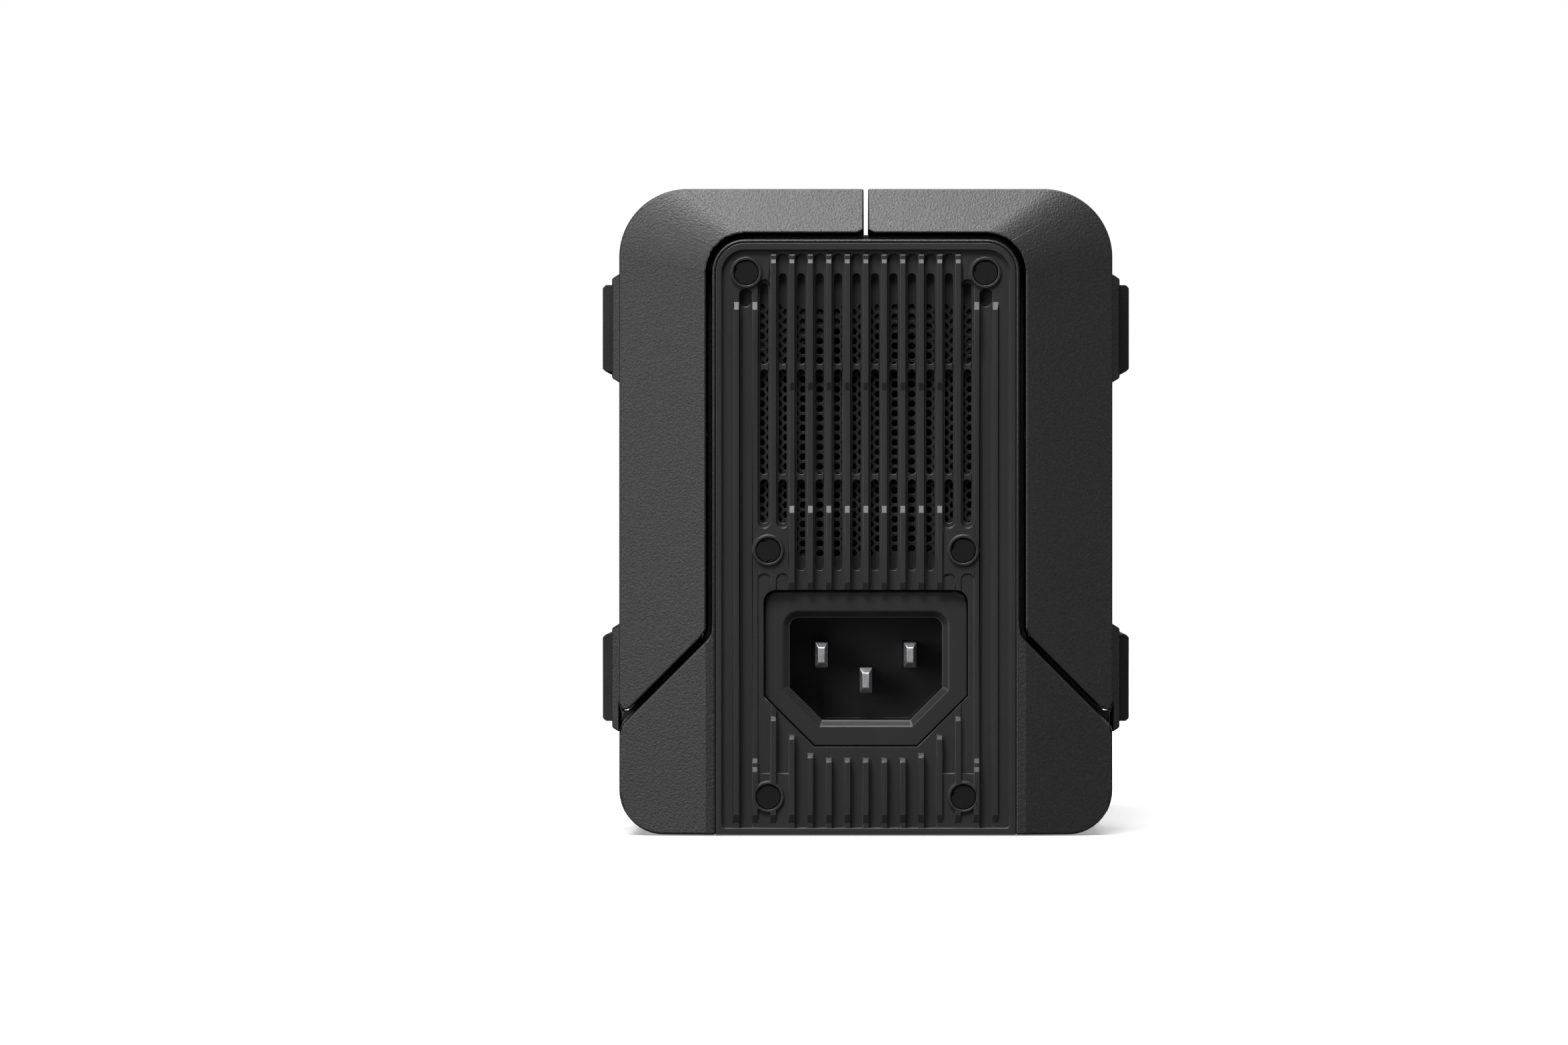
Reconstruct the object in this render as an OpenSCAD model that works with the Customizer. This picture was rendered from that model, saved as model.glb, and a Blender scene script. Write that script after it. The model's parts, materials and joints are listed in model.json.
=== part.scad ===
// Two-pack battery charging station: a mains charger core with a battery pack docked on each side.
// The rear face, with the vents and the mains inlet, looks along -Y. The body stands on its pads at Z = 0.

/* [Body] */
// Width over the two docked packs, without their side feet
body_w = 77.8; // [76.2:0.4:84.2]
// Height from the underside of the housing to the top of the packs
body_h = 101.8; // [100:0.2:106]
// Depth from the rear rim to the front rim
body_d = 170; // [160:5:200]
// How far the outer edges of the ends stand back from the rims
end_bevel = 3.1; // [2:0.1:4]

/* [Charger core] */
// Width of the upright part of the housing
core_w = 48.4; // [47.6:0.2:49]
// Height of the top of the housing
core_h = 93.8; // [93:0.2:94.4]
// Wall thickness of the housing
wall = 2; // [1.6:0.2:2.2]
// Radius of the housing's lower corners
base_r = 7; // [5:0.5:8]
// How far the base pads stand below the housing
pad_proud = 0.2; // [0.1:0.1:0.5]

/* [Battery packs] */
// Radius of the top outer corner of a pack
pack_r = 10.8; // [9:0.2:12]
// Gap between a docked pack and the housing
dock_gap = 1; // [0.8:0.1:1.2]
// Gap between the two packs over the middle of the housing
middle_gap = 0.7; // [0.5:0.1:1.2]
// Wall thickness of a pack
pack_wall = 1.6; // [1.4:0.1:1.8]

/* [Rear panel] */
// Distance from one rib to the next
rib_pitch = 2.91; // [2.88:0.01:2.94]
// Width of a rib
rib_w = 0.92; // [0.8:0.02:1]
// Width of a vent slot
slot_w = 1.24; // [1:0.02:1.4]
// Distance between neighbouring holes of the perforated sheet
sheet_pitch = 1.52; // [1.5:0.01:1.6]

/* [Hidden] */

$fn = 48;
side = [-1, 1];
eps = 0.01;
cut = 1;             // how far a cutting shape runs past the face it cuts

// housing
half_core = core_w / 2;
core_r = 5.2;        // top corners of the upright part
flare_top = 31.5;    // height at which the 45 degree flare leaves the upright part
flare_sum = half_core + flare_top;
flare_fillet = 2.8;  // in the corner between the upright part and the flare
flare_edge_r = 2;    // on the outer edge of the flare
end_wall = 6;        // end walls of the flared base, thick enough to hold the bevel
rib_gap = 0.15;      // between the locating ribs round the housing and a docked pack
rib_y_span = [7, 9];

// panels
panel_half = 23.6;
panel_top = 93.2;
panel_t = 3.4;
field_y = 0.9;       // flat field of the rear panel, below its rim
rib_y = 0.35;        // tops of the raised ribs
shallow_y = 1.15;    // floors of the shallow grooves
groove_y = 1.8;      // floors of the grooves
boss_end = 5.4;      // inner ends of the screw bosses
screw_high = [18.84, 88.53];
screw_mid = [15.36, 44.78];
screw_low = [15.36, 5.93];
screws_corner = [screw_high, screw_low];
screws_rear = [screw_high, screw_mid, screw_low];
screw_bore = 2;
screw_hole = 1.4;
thread_r = 1.2;
boss_r = 2.75;
head_y = 2.6;        // outer faces of the screw heads
head_seat = 4;       // depth of the screw heads' seats

// vent rows: [top, bottom] of the slots
vent_rows = [[88.4, 74.14], [73.27, 56.8], [55.93, 41.65]];
vent_short_top = 86.84;
vent_short_bottom = 49.1;
groove_top = 91.5;

// fan
fan_z = 61;
fan_size = 40;
fan_hole = 16;
fan_y = [boss_end + 0.05, boss_end + 15.05];
fan_r = 19;
hub_r = 9;
sheet_y = [panel_t + 0.05, panel_t + 0.55];
sheet_low = 40.6;
sheet_half = 20.6;
gasket_top = 85.4;

// mains inlet
inlet_z = [14, 38.3];
inlet_half = 15.9;
inlet_chamfer = 7.9;
inlet_top_r = 1.8;
cavity_half = 12.15;
cavity_z = [17.9, 34.3];
cavity_chamfer = 5.2;
cavity_r = 1.6;
inlet_face_y = 2.7;
flange_t = 1.5;
inlet_back_y = inlet_face_y + 22.3;
cavity_floor_y = inlet_face_y + 16.3;
pin_tip_y = inlet_face_y + 2.5;
pin_z = 28.2;        // line and neutral pins
earth_z = 24.2;
pin_x = 7;

// packs
half_w = body_w / 2;
lip_r = core_r + dock_gap;
pack_low = 10;       // below the lowest point of a pack
pocket_floor = 26;
cover_edge = [3, 35.5];  // inner and lower edge of the cover
cells_y = [19, 121];
cells_z = [34.5, 90.5];
socket_y = 140;
socket_z = 46;
guide_y = [12, body_d - 12];
guide_z = 62;
guide_r = 2.4;
foot_z = [24.5, 80];
foot_y = [31, body_d - 31];
foot_h = 13.8;
foot_l = 34;
boss_proud = 1.4;
foot_proud = 1.5;
button_x = 20;
button_y = body_d - 38;
button_r = 4.4;
board_z = 97.2;

// power board
board_top = 7;
board_y = [32, 138];
board_holes = [for (x = [-28, 28], y = [38, 132]) [x, y]];

// magnets
magnet_z = [42, 82];
magnet_y = [34, 110];
magnet_r = 5;

// ---------------------------------------------------------------- helpers

// Extrudes an outline drawn in X and Z from y = a to y = b
module along_y(a, b) {
    translate([0, b, 0]) rotate([90, 0, 0]) linear_extrude(b - a) children();
}

// Extrudes an outline drawn in Y and Z from x = a to x = b
module along_x(a, b) {
    translate([a, 0, 0]) rotate([90, 0, 90]) linear_extrude(b - a) children();
}

// Round bar along Y
module rod_y(r, a, b, at) {
    translate([at[0], b, at[1]]) rotate([90, 0, 0]) cylinder(r = r, h = b - a);
}

// Round bar along X, at = [y, z]
module rod_x(r, a, b, at) {
    translate([a, at[0], at[1]]) rotate([0, 90, 0]) cylinder(r = r, h = b - a);
}

// Box between two corners
module block(lo, hi) {
    translate(lo) cube([hi[0] - lo[0], hi[1] - lo[1], hi[2] - lo[2]]);
}

// Upright slot outline with round ends
module pill(x, top, bottom, w) {
    translate([x - w / 2, bottom + w / 2]) square([w, top - bottom - w]);
    for (z = [top - w / 2, bottom + w / 2]) translate([x, z]) circle(w / 2, $fn = 24);
}

// A shape drawn on the +X side, on side s
module on_side(s) {
    mirror([s < 0 ? 1 : 0, 0, 0]) children();
}

module on_side_2d(s) {
    mirror([s < 0 ? 1 : 0, 0]) children();
}

// The same shape turned end for end, for the front of the body
module at_front() {
    translate([0, body_d, 0]) mirror([0, 1, 0]) children();
}

module both_ends() {
    children();
    at_front() children();
}

// Moves the body from rear-rim coordinates to the frame of the part
module placed() {
    translate([0, -body_d / 2, pad_proud]) children();
}

// ---------------------------------------------------------------- outlines

// Upright outline with a flat foot and rounded top corners
module arch(half, top, r, foot = 0) {
    translate([-half, foot]) square([2 * half, top - r - foot]);
    translate([r - half, foot]) square([2 * (half - r), top - foot]);
    for (s = side) translate([s * (half - r), top - r]) circle(r);
}

// Flared base of the housing, inset by t
module base_outline(t) {
    xo = half_w - t;
    xi = half_core - t;
    r = base_r - t;
    sum = flare_sum - t * sqrt(2);
    edge_r = flare_edge_r - t / 2;
    edge_z = sum - edge_r * sqrt(2) - (xo - edge_r);
    chord = edge_r / sqrt(2);
    half = [
        [xo - r, t], [xo, t + r], [xo, edge_z], [xo - edge_r + chord, edge_z + chord], [xi, sum - xi]
    ];
    polygon(concat(half, [for (i = [len(half) - 1:-1:0]) [-half[i][0], half[i][1]]]));
    for (s = side) {
        translate([s * (xo - r), t + r]) circle(r);
        translate([s * (xo - edge_r), edge_z]) circle(edge_r);
    }
}

// Fillet between the upright part and the flare, inset by t
module flare_fillets(t) {
    xi = half_core - t;
    sum = flare_sum - t * sqrt(2);
    r = flare_fillet + t;
    centre = [xi + r, sum + r * sqrt(2) - xi - r];
    deep = (r + 0.4) / sqrt(2);
    bite = 0.003;        // the arc cuts into both sides by this much, so that it crosses them cleanly
    for (s = side) on_side_2d(s) difference() {
        polygon([
            [xi - 0.5, centre[1]], [xi - 0.5, sum - xi - 1], [centre[0] - deep, centre[1] - deep], centre
        ]);
        translate(centre) circle(r + bite);
    }
}

// Whole outline of the housing, inset by t, or grown when t is negative
module core_outline(t) {
    arch(half_core - t, core_h - t, core_r - t, max(t, 0) + base_r);
    base_outline(t);
    flare_fillets(t);
}

module panel_outline(clear = 0) {
    arch(panel_half + clear, panel_top + clear, core_r - half_core + panel_half + clear, -clear);
}

// Mains inlet outline with its lower corners cut at 45 degrees
module inlet_outline(half, zs, chamfer, r) {
    polygon([
        [-half, zs[1] - r], [-half, zs[0] + chamfer], [chamfer - half, zs[0]],
        [half - chamfer, zs[0]], [half, zs[0] + chamfer], [half, zs[1] - r]
    ]);
    translate([r - half, zs[1] - r - eps]) square([2 * (half - r), r + eps]);
    for (s = side) translate([s * (half - r), zs[1] - r]) circle(r);
}

module flange_outline(grow) {
    inlet_outline(inlet_half + grow, [inlet_z[0] - grow, inlet_z[1] + grow],
        inlet_chamfer + grow * (2 - sqrt(2)), inlet_top_r + grow);
}

// ---------------------------------------------------------------- bevelled ends

// Distance from the middle to the inner and to the outer edge of the end bevel, measured toward angle a
// above the horizontal
function bevel_inner(a) = (half_core - core_r) * cos(a) + (core_h - core_r) * sin(a) + lip_r;
function bevel_outer(a) = (half_w - pack_r) * cos(a) + (body_h - pack_r) * sin(a) + pack_r;

// Wedge that cuts the rear end of the +X side back along the bevel facing angle a
module bevel_cut(a) {
    rise = (bevel_outer(a) - bevel_inner(a)) / end_bevel;
    rotate([0, -a, 0]) linear_extrude(4 * body_h, center = true) polygon([
        [bevel_inner(a) - rise, -1],
        [bevel_outer(a) + rise, end_bevel + 1],
        [bevel_outer(a) + rise, -1]
    ]);
}

// ---------------------------------------------------------------- housing

module dock_window() {
    block([half_core - wall - cut, socket_y - 13, socket_z - 5],
        [half_core + cut, socket_y + 13, socket_z + 5]);
}

// Screw post reaching out to the nearest wall
module corner_post(at) {
    r = 3;
    near = boss_end + 0.1;
    far = 16;
    rod_y(r, near, far, at);
    if (at[1] > body_h / 2)
        block([at[0], near, at[1] - r], [half_core - wall + 0.3, far, core_h - wall]);
    else
        block([at[0] - r, near, wall - 0.3], [at[0] + r, far, at[1]]);
}

// Rib round the housing that locates the docked packs and closes the gap between them and the housing.
// Its ends fill the space under the rounded toes of the packs.
module locating_rib() {
    rib_half = half_w - 0.3;
    flare_low = flare_sum - half_w;
    along_y(rib_y_span[0], rib_y_span[1]) difference() {
        union() {
            intersection() {
                core_outline(rib_gap - dock_gap);
                translate([-rib_half, flare_low - 2]) square([2 * rib_half, body_h]);
            }
            for (s = side) on_side_2d(s) translate([rib_half - 2, flare_low - 2])
                square([2, toe_z - toe_r - rib_gap - flare_low + 2]);
        }
        core_outline(wall / 2);
    }
}

module main_housing() {
    color([0.21, 0.21, 0.22]) difference() {
        union() {
            difference() {
                along_y(0, body_d) core_outline(0);
                both_ends() for (s = side) on_side(s) bevel_cut(0);
                along_y(end_wall, body_d - end_wall) core_outline(wall);
                along_y(panel_t, body_d - panel_t) arch(half_core - wall, core_h - wall, core_r - wall, wall);
                both_ends() along_y(-cut, panel_t) panel_outline(0.05);
            }
            both_ends() for (s = side, at = screws_corner) on_side(s) corner_post(at);
            both_ends() locating_rib();
            for (s = side, z = magnet_z, y = magnet_y)
                on_side(s) rod_x(magnet_r + 1.4, half_core - wall - 1.8, half_core - 0.5, [y, z]);
            for (s = side, y = guide_y)
                on_side(s) rod_x(guide_r, half_core - 0.5, half_core + 6, [y, guide_z]);
            for (at = board_holes) translate([at[0], at[1], wall - 0.3])
                cylinder(r = 3, h = board_top - wall - 1.4);
        }
        both_ends() for (s = side, at = screws_corner) rod_y(thread_r, 4, 15, [s * at[0], at[1]]);
        for (s = side) on_side(s) dock_window();
        for (s = side, z = magnet_z, y = magnet_y)
            on_side(s) rod_x(magnet_r + 0.05, half_core - wall - 3, half_core - 0.6, [y, z]);
        for (at = board_holes) translate([at[0], at[1], wall]) cylinder(r = thread_r, h = 8);
        for (s = side) pad_shape(s, 0.1);
    }
}

// Base pad, set into the underside of the housing
module pad_shape(s, clear) {
    pad_w = 9;
    for (y = [26, body_d - 26]) translate([s * 27, y, -pad_proud - clear / 2])
        for (dy = side) {
            translate([0, dy * 10, 0]) cylinder(r = pad_w / 2 + clear, h = pad_proud + 0.9 + clear);
            translate([-pad_w / 2 - clear, dy * 5 - 5.01, 0])
                cube([pad_w + 2 * clear, 10.02, pad_proud + 0.9 + clear]);
        }
}

module base_pads() {
    color([0.08, 0.08, 0.08]) for (s = side) pad_shape(s, 0);
}

// ---------------------------------------------------------------- rear panel

// Groove k lies between ribs k and k + 1, counted outward from the middle
function groove_x(k) = (k + 0.5) * rib_pitch;
groove_w = rib_pitch - rib_w;
moat_half = groove_x(4) + groove_w / 2;  // the moat below the inlet is as wide as groove 4 and its mirror image
groove_end = 9.6;                        // square lower ends of grooves 4 and 5
field_top = 92.1;
field_bottom = 1;

module groove_outlines() {
    for (s = side) {
        for (k = [0:3]) pill(s * groove_x(k), groove_top, field_bottom - groove_w, groove_w);
        pill(s * groove_x(4), groove_top, 48.3, groove_w);
        pill(s * groove_x(5), vent_short_top + 0.6, 48.3, groove_w);
        translate([s * groove_x(4) - groove_w / 2, groove_end]) square([groove_w, 11]);
        pill(s * groove_x(6), 86, field_bottom - groove_w, groove_w);
    }
}

// Grooves beside the inlet, which are only shallow
module shallow_groove_outlines() {
    top = 41.1;
    for (s = side) {
        pill(s * groove_x(4), top, 36, groove_w);
        pill(s * groove_x(5), top, 20, groove_w);
        translate([s * groove_x(5) - groove_w / 2, groove_end]) square([groove_w, 15]);
    }
}

module vent_slots() {
    for (s = side, k = [0:5], row = [0:2]) {
        top = k == 5 && row == 0 ? vent_short_top : vent_rows[row][0];
        bottom = k > 3 && row == 2 ? vent_short_bottom : vent_rows[row][1];
        pill(s * groove_x(k), top, bottom, slot_w);
    }
}

// Raised stretch of rib j, with a ramp at each end. A landing splits a long upper ramp in two.
module raised_rib(j, top, top_ramp, bottom, bottom_ramp) {
    landing = top_ramp > 1.5 ? 0.6 : 0;
    climb = (top_ramp - landing) / 2;
    middle_y = (field_y + rib_y) / 2;
    for (s = j == 0 ? [1] : side)
        along_x(s * j * rib_pitch - rib_w / 2, s * j * rib_pitch + rib_w / 2)
            polygon([
                [groove_y, top], [field_y, top], [middle_y, top - climb], [middle_y, top - climb - landing],
                [rib_y, top - top_ramp], [rib_y, bottom + bottom_ramp], [field_y, bottom], [groove_y, bottom]
            ]);
}

// Height at which a rib starts below the inlet flange
function below_inlet(x) = inlet_z[0] - 2 + max(0, x - inlet_half + inlet_chamfer);

module panel_ribs() {
    for (j = [0:4]) {
        raised_rib(j, 91.8, 1.8, 70, 1.2);
        raised_rib(j, 51.8, 1.1, inlet_z[1] + 0.1, 1.3);
    }
    raised_rib(5, 91.8, 1.8, 73.5, 3.8);
    raised_rib(6, 83.9, 1.2, 73.5, 3.8);
    raised_rib(6, 12, 2.1, 1.8, 1.3);
    raised_rib(7, 83.9, 1.2, 1.8, 1.3);
    for (j = [0:5]) raised_rib(j, below_inlet(j * rib_pitch), 0.6, 1.8, 1.3);
}

module panel_plate() {
    difference() {
        along_y(0, panel_t) panel_outline();
        along_y(-cut, field_y) {
            arch(22.7, field_top, 3.7, field_bottom + 0.7);
            translate([-22, field_bottom]) square([44, 1]);
            for (s = side) translate([s * 22, field_bottom + 0.7]) circle(0.7);
        }
        along_y(-cut, groove_y) intersection() {
            groove_outlines();
            translate([-24, field_bottom]) square([48, 100]);
        }
        along_y(-cut, shallow_y) shallow_groove_outlines();
        along_y(-cut, groove_y) intersection() {
            flange_outline(2);
            translate([-moat_half, field_bottom]) square([2 * moat_half, 22]);
        }
    }
}

module rear_panel() {
    color([0.22, 0.22, 0.22]) difference() {
        union() {
            panel_plate();
            panel_ribs();
            for (s = side, at = screws_rear) {
                rod_y(2.45, rib_y, panel_t, [s * at[0], at[1]]);
                rod_y(boss_r, panel_t - 0.5, boss_end, [s * at[0], at[1]]);
            }
            along_y(panel_t - 0.5, boss_end) intersection() {
                flange_outline(1.6);
                translate([-panel_half, 2.5]) square([2 * panel_half, 37.4]);
            }
        }
        along_y(-cut, panel_t + cut) vent_slots();
        along_y(-cut, groove_y + 1.1) for (s = side) pill(s * groove_x(6), 86, 83.2, groove_w);
        along_y(-cut, inlet_face_y + flange_t + 0.05) flange_outline(0.2);
        along_y(0, boss_end + cut) inlet_shell_outline(0.2);
        for (s = side, at = screws_rear) {
            rod_y(screw_bore, -cut, head_seat, [s * at[0], at[1]]);
            rod_y(screw_hole, 0, boss_end + cut, [s * at[0], at[1]]);
        }
    }
}

// Pan-head screw driven inward along Y
module panel_screw(at, length) {
    difference() {
        union() {
            rod_y(1.85, head_y, head_seat - 0.02, at);
            rod_y(thread_r - 0.02, head_seat - 0.03, head_y + length, at);
        }
        along_y(head_y - cut, head_y + 0.9) translate(at) circle(0.8, $fn = 6);
    }
}

module rear_screws() {
    color([0.45, 0.45, 0.47]) for (s = side) {
        for (at = screws_corner) panel_screw([s * at[0], at[1]], 11);
        panel_screw([s * screw_mid[0], screw_mid[1]], 21);
    }
}

// Push-in plugs that hide the screws
module screw_plugs(points) {
    for (s = side, at = points) rod_y(screw_bore - 0.06, rib_y + 0.3, 2.4, [s * at[0], at[1]]);
}

module rear_screw_plugs() {
    color([0.09, 0.09, 0.09]) screw_plugs(screws_rear);
}

// Perforated sheet between the vent slots and the fan, with two studs for the fan on its back
module vent_sheet() {
    column = sheet_pitch * sqrt(3) / 2;
    rows = 26;
    lowest = 44.33;
    color([0.16, 0.16, 0.16]) {
        along_y(sheet_y[0], sheet_y[1]) difference() {
            translate([-sheet_half, sheet_low]) square([2 * sheet_half, 50]);
            for (i = [-13:12], n = [0:rows - 1])
                translate([(i + 0.5) * column, lowest + (n + (i % 2 == 0 ? 0 : 0.5)) * sheet_pitch])
                    circle(sheet_pitch * 0.39, $fn = 6);
            for (s = side) {
                translate([s * screw_mid[0], screw_mid[1]]) circle(boss_r + 0.2);
                translate([s * screw_high[0], screw_high[1]]) circle(boss_r + 0.2);
            }
        }
        for (s = side) rod_y(thread_r - 0.02, sheet_y[1] - 0.1, fan_y[1] + 2.6, fan_hole_at(s, 1));
    }
}

// ---------------------------------------------------------------- fan

function fan_hole_at(s, t) = [s * fan_hole, fan_z + t * fan_hole];

// Foam frame between the sheet and the fan
module fan_gasket() {
    color([0.2, 0.2, 0.2]) along_y(sheet_y[1] + 0.05, boss_end) difference() {
        translate([-sheet_half, sheet_low]) square([2 * sheet_half, gasket_top - sheet_low]);
        translate([0, fan_z]) circle(fan_r + 0.2);
        for (s = side) {
            translate([s * screw_mid[0], screw_mid[1]]) circle(boss_r + 0.2);
            translate(fan_hole_at(s, 1)) circle(thread_r + 0.2);
        }
    }
}

module fan_frame() {
    half = fan_size / 2;
    color([0.1, 0.1, 0.1]) difference() {
        union() {
            along_y(fan_y[0], fan_y[1]) difference() {
                translate([-half, fan_z - half]) square(fan_size);
                translate([0, fan_z]) circle(fan_r);
                for (s = side, t = side) translate(fan_hole_at(s, t)) circle(2.15);
            }
            along_y(fan_y[1] - 2, fan_y[1]) {
                translate([0, fan_z]) circle(hub_r + 0.5);
                for (a = [45:90:315]) translate([0, fan_z]) rotate(a)
                    translate([hub_r, -1]) square([fan_r - hub_r + 0.5, 2]);
            }
            rod_y(1.2, fan_y[0] + 5, fan_y[1] - 1, [0, fan_z]);
        }
        // waist around the outside, between the two flanges
        for (s = side) {
            on_side(s) block([half - 1.6, fan_y[0] + 3, fan_z - 12], [half + cut, fan_y[1] - 3, fan_z + 12]);
            translate([0, 0, fan_z]) scale([1, 1, s])
                block([-12, fan_y[0] + 3, half - 0.7], [12, fan_y[1] - 3, half + cut]);
        }
    }
}

module fan_rotor() {
    blades = 7;
    span = [fan_y[0] + 1, fan_y[1] - 2.6];
    color([0.12, 0.12, 0.12]) difference() {
        union() {
            rod_y(hub_r - 0.4, span[0], span[1], [0, fan_z]);
            intersection() {
                rod_y(fan_r - 0.7, span[0], span[1], [0, fan_z]);
                translate([0, (span[0] + span[1]) / 2, fan_z]) for (i = [0:blades - 1])
                    rotate([0, i * 360 / blades, 0]) rotate([38, 0, 0])
                        translate([hub_r - 2, -8, -0.45]) cube([fan_r, 16, 0.9]);
            }
        }
        rod_y(1.25, span[0] + 3, span[1] + cut, [0, fan_z]);
    }
}

// Nuts on the two lower panel screws and on the sheet's two studs
module fan_nuts() {
    color([0.6, 0.6, 0.62]) for (s = side, at = [screw_mid, [fan_hole, fan_z + fan_hole]]) difference() {
        along_y(fan_y[1] + 0.05, fan_y[1] + 2) translate([s * at[0], at[1]]) circle(2.6, $fn = 6);
        rod_y(thread_r, fan_y[1] - cut, fan_y[1] + 3, [s * at[0], at[1]]);
    }
}

// ---------------------------------------------------------------- mains inlet

module inlet_shell_outline(grow) {
    inlet_outline(cavity_half + 1.5 + grow, [cavity_z[0] - 1.5 - grow, cavity_z[1] + 1.5 + grow],
        cavity_chamfer + 0.9, 2.5);
}

module cavity_outline() {
    inlet_outline(cavity_half, cavity_z, cavity_chamfer, cavity_r);
}

function inlet_pin_places() = [[-pin_x, pin_z], [pin_x, pin_z], [0, earth_z]];

// Sides of the cavity, as [angle above the horizontal, distance from the middle of the underside]
mouth_sides = concat(
    [[-90, -cavity_z[0]], [-45, (cavity_half - cavity_z[0] - cavity_chamfer) / sqrt(2)]],
    [for (a = [0:22.5:90])
        [a, (cavity_half - cavity_r) * cos(a) + (cavity_z[1] - cavity_r) * sin(a) + cavity_r]]
);

// Funnel that chamfers the mouth of the cavity at 45 degrees
module mouth_cut() {
    mouth = 0.9;
    face = inlet_face_y;
    difference() {
        block([-inlet_half, face - cut, inlet_z[0]], [inlet_half, face + mouth - eps, inlet_z[1]]);
        for (s = side, at = mouth_sides) on_side(s) rotate([0, -at[0], 0]) linear_extrude(100, center = true)
            polygon([
                [at[1] + mouth + 2, face - 2], [at[1] - 1, face + mouth + 1],
                [at[1] + 60, face + mouth + 1], [at[1] + 60, face - 2]
            ]);
    }
}

module inlet_body() {
    color([0.17, 0.17, 0.17]) difference() {
        union() {
            along_y(inlet_face_y, inlet_face_y + flange_t) flange_outline(0);
            along_y(inlet_face_y + 1, inlet_back_y) inlet_shell_outline(0);
            for (s = side) along_y(boss_end + 0.3, boss_end + 4)
                translate([s * (cavity_half + 1.8) - 1, 24]) square([2, 6]);
        }
        along_y(inlet_face_y - cut, cavity_floor_y) cavity_outline();
        mouth_cut();
        for (at = inlet_pin_places())
            block([at[0] - 1, cavity_floor_y - cut, at[1] - 2], [at[0] + 1, inlet_back_y + cut, at[1] + 2]);
    }
}

// Mains pin: a blade with a chamfered tip, and a flat tab behind the inlet
module inlet_pin(at) {
    tip = pin_tip_y;
    translate([at[0], 0, at[1]]) {
        intersection() {
            block([-1, tip, -2], [1, inlet_back_y, 2]);
            along_x(-2, 2) polygon([[tip, -1.2], [tip + 1, -2], [40, -2], [40, 2], [tip + 1, 2], [tip, 1.2]]);
            linear_extrude(8, center = true)
                polygon([[-0.5, tip], [-1, tip + 1], [-1, 40], [1, 40], [1, tip + 1], [0.5, tip]]);
        }
        block([-0.4, inlet_back_y - eps, -2], [0.4, inlet_back_y + 7, 2]);
    }
}

module inlet_pins() {
    color([0.78, 0.78, 0.8]) for (at = inlet_pin_places()) inlet_pin(at);
}

// ---------------------------------------------------------------- front

window_z = [62, 69, 76, 83];
window_x = 13;
mode_z = 48;
mode_r = 5;
control_y = 10;      // control board, inward from the front rim
board_posts = [[-17, 40.5], [17, 40.5], [0, 83]];

module front_panel() {
    color([0.2, 0.2, 0.2]) at_front() difference() {
        union() {
            along_y(0, panel_t) panel_outline();
            for (s = side, at = screws_corner) rod_y(boss_r, panel_t - 0.5, boss_end, [s * at[0], at[1]]);
            rod_y(mode_r + 2.4, panel_t - 0.5, 6, [0, mode_z]);
            for (at = board_posts) rod_y(2.4, panel_t - 0.5, control_y - 0.05, at);
        }
        along_y(-cut, 0.6) arch(22.2, panel_top - 1.6, 3.2, 1.5);
        along_y(-cut, panel_t + cut) for (s = side, k = [0:5]) pill(s * groove_x(k), 33, 11, slot_w + 0.3);
        along_y(-cut, 1.3) for (s = side, k = [0:5]) pill(s * groove_x(k), 34, 10, groove_w);
        along_y(-cut, panel_t + cut) for (s = side, z = window_z) window_outline(s, z, 0.05);
        for (at = board_posts) rod_y(thread_r, panel_t, control_y + cut, at);
        rod_y(mode_r + 0.2, -cut, panel_t + 4, [0, mode_z]);
        rod_y(mode_r + 1.4, panel_t, panel_t + 4, [0, mode_z]);
        for (s = side, at = screws_corner) {
            rod_y(screw_bore, -cut, head_seat, [s * at[0], at[1]]);
            rod_y(screw_hole, 0, boss_end + cut, [s * at[0], at[1]]);
        }
    }
}

module window_outline(s, z, clear) {
    translate([s * window_x - 3 - clear, z - 1.1 - clear]) square([6 + 2 * clear, 2.2 + 2 * clear]);
}

module front_screws() {
    color([0.45, 0.45, 0.47]) at_front() for (s = side, at = screws_corner)
        panel_screw([s * at[0], at[1]], 11);
}

module front_screw_plugs() {
    color([0.09, 0.09, 0.09]) at_front() screw_plugs(screws_corner);
}

module status_windows() {
    color([0.75, 0.85, 0.8]) at_front() for (s = side) {
        along_y(0.6, panel_t + 0.1) for (z = window_z) window_outline(s, z, 0);
        along_y(panel_t + 0.05, panel_t + 1.2)
            translate([s * window_x - 3.6, window_z[0] - 2]) square([7.2, window_z[3] - window_z[0] + 4]);
    }
}

module mode_button() {
    color([0.12, 0.12, 0.12]) at_front() {
        rod_y(mode_r, 0.3, panel_t + 0.1, [0, mode_z]);
        rod_y(mode_r + 1, panel_t + 0.05, panel_t + 1, [0, mode_z]);
        rod_y(1.5, panel_t + 0.9, 7.3, [0, mode_z]);
    }
}

module control_board() {
    color([0.1, 0.3, 0.18]) at_front() along_y(control_y, control_y + 1.6) difference() {
        translate([-20, 38]) square([40, 47]);
        for (at = board_posts) translate(at) circle(1.3);
    }
}

module control_board_screws() {
    color([0.6, 0.6, 0.62]) at_front() for (at = board_posts) {
        rod_y(2.2, control_y + 1.62, control_y + 3.1, at);
        rod_y(thread_r - 0.02, control_y - 5, control_y + 1.7, at);
    }
}

module status_leds() {
    color([0.9, 0.9, 0.85]) at_front() for (s = side, z = window_z)
        block([s * window_x - 1.6, control_y - 1, z - 0.8], [s * window_x + 1.6, control_y, z + 0.8]);
}

module mode_switch() {
    color([0.3, 0.3, 0.32]) at_front() {
        block([-3, control_y - 1.4, mode_z - 3], [3, control_y, mode_z + 3]);
        rod_y(1.4, control_y - 1.8, control_y - 1.35, [0, mode_z]);
    }
}

// ---------------------------------------------------------------- power supply

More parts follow.
